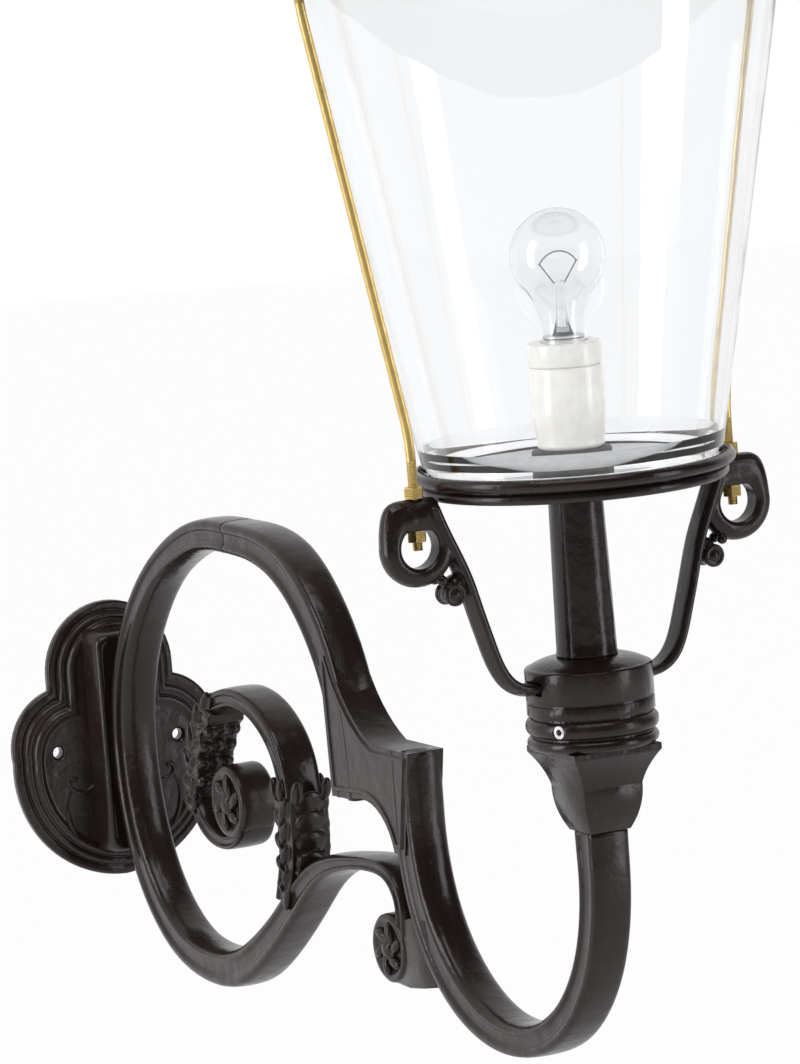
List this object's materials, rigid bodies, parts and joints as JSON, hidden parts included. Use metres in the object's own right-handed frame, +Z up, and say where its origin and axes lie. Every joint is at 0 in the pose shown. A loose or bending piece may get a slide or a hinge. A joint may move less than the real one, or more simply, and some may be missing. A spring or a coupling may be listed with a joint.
{
  "type": "wall lantern",
  "caption": "Wall-mounted street lantern: tapered clear glass with a hinged hood, on a cast scroll bracket with a trefoil wall plate.",
  "frame": {"origin": "on the wall, midway between the two fixing holes, at the back face of the wall plate", "axes": "+X to the right when facing the wall, +Y into the wall, +Z up; the lamp stands out toward -Y"},
  "size_m": [0.373, 0.9115, 0.9242],
  "materials": {
    "dark_paint": "gloss black-brown enamel over cast metal",
    "brass": "polished",
    "steel": "zinc plated",
    "lamp_cap": "bright rolled",
    "rubber": "matt",
    "dark_moulding": "satin thermoset",
    "porcelain": "glazed",
    "lantern_glass": "clear",
    "bulb_glass": "clear",
    "pale_plate": "satin pale grey"
  },
  "bodies": {
    "bracket": {"wall_plate": "dark_paint", "scroll_loop": "dark_paint", "hook_arm": "dark_paint", "seam_dowel": "steel", "inner_scroll": "dark_paint", "leaf_husk": "dark_paint", "back_leaf": "dark_paint", "inner_rosettes": "dark_paint", "end_rosettes": "dark_paint", "plate_bolts": "steel", "cable_grommet": "rubber", "capital": "dark_paint", "spigot": "steel", "spigot_stud": "steel"},
    "lantern": {"collar": "dark_paint", "grub_screws": "steel", "left_arm": "dark_paint", "right_arm": "dark_paint", "foot_screws": "steel", "column_tube": "dark_paint", "hollow_rod": "steel", "rod_nuts": "steel", "gallery_dish": "dark_paint", "glass_gasket": "rubber", "reflector_plate": "pale_plate", "glass_cone": "lantern_glass", "holder_seat": "dark_moulding", "holder_body": "porcelain", "holder_ring": "porcelain", "screw_shell": "brass", "centre_contact": "brass", "left_tie_rod": "brass", "right_tie_rod": "brass", "ear_nuts": "brass", "eye_nuts": "brass", "lug_under_nuts": "brass", "acorn_nuts": "brass", "top_ring": "dark_paint", "top_gasket": "rubber", "hinge_pin": "steel"},
    "hood": {"hood_shell": "dark_paint", "hood_curb": "dark_paint", "hinge_leaf": "dark_paint", "vent_neck": "dark_paint", "vent_cap": "dark_paint", "finial": "dark_paint"},
    "bulb_slide": {"bulb_contact": "lamp_cap"},
    "bulb": {"bulb_cap": "lamp_cap", "bulb_insulator": "dark_moulding", "bulb_glass": "bulb_glass", "bulb_stem": "bulb_glass", "bulb_filament": "steel"}
  },
  "joints": [
    {"name": "lantern_swivel", "type": "hinge", "parent": "bracket", "child": "lantern", "pos_m": [0, -0.725, 0.0813], "axis": [0, 0, 1], "range_deg": [-90, 90]},
    {"name": "hood_hinge", "type": "hinge", "parent": "lantern", "child": "hood", "pos_m": [0, -0.557, 0.594], "axis": [-1, 0, 0], "range_deg": [0, 60]},
    {"name": "bulb_lift", "type": "slide", "parent": "lantern", "child": "bulb_slide", "axis": [0, 0, 1], "range_m": [0, 0.0273]},
    {"name": "bulb_turn", "type": "hinge", "parent": "bulb_slide", "child": "bulb", "pos_m": [0, -0.725, 0.33], "axis": [0, 0, 1], "range_deg": [0, 2700]}
  ],
  "couplings": [
    {"joint": "bulb_lift", "follows": "bulb_turn", "m_per_rad": 0.00057773}
  ]
}
